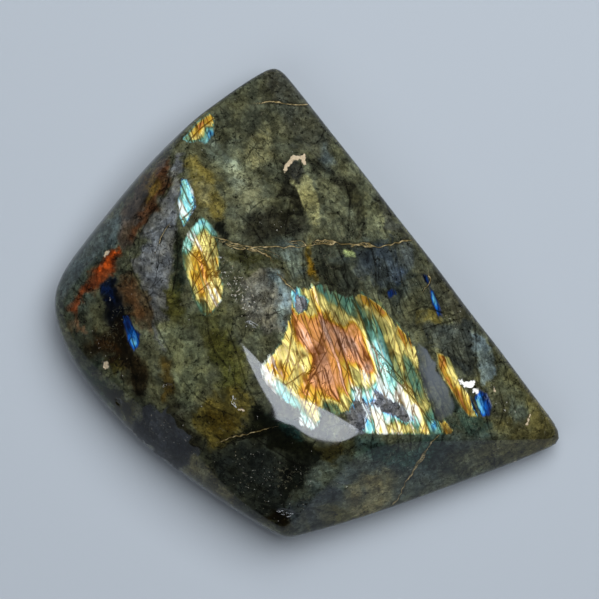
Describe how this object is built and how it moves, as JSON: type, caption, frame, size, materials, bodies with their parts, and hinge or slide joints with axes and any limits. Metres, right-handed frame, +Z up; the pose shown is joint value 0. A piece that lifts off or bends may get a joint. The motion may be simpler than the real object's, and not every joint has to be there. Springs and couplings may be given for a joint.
{
  "type": "polished labradorite freeform stone",
  "caption": "Low polished freeform stone of dark labradorite, ground to broad domed faces, that lies on a flat base and shows rainbow flashes on its upper faces.",
  "frame": {"origin": "on the flat base, under the middle of the stone's outline", "axes": "+Z up out of the display side, +X to the right and +Y away from someone who looks down on the stone as the picture does; the thin right corner points along +X and the pointed end along +Y"},
  "size_m": [0.1112, 0.1032, 0.0309],
  "materials": {
    "polished_labradorite": "polished dark grey-green feldspar with blue, teal, gold and copper flashes"
  },
  "bodies": {
    "root": {"labradorite_stone": "polished_labradorite"}
  },
  "joints": []
}
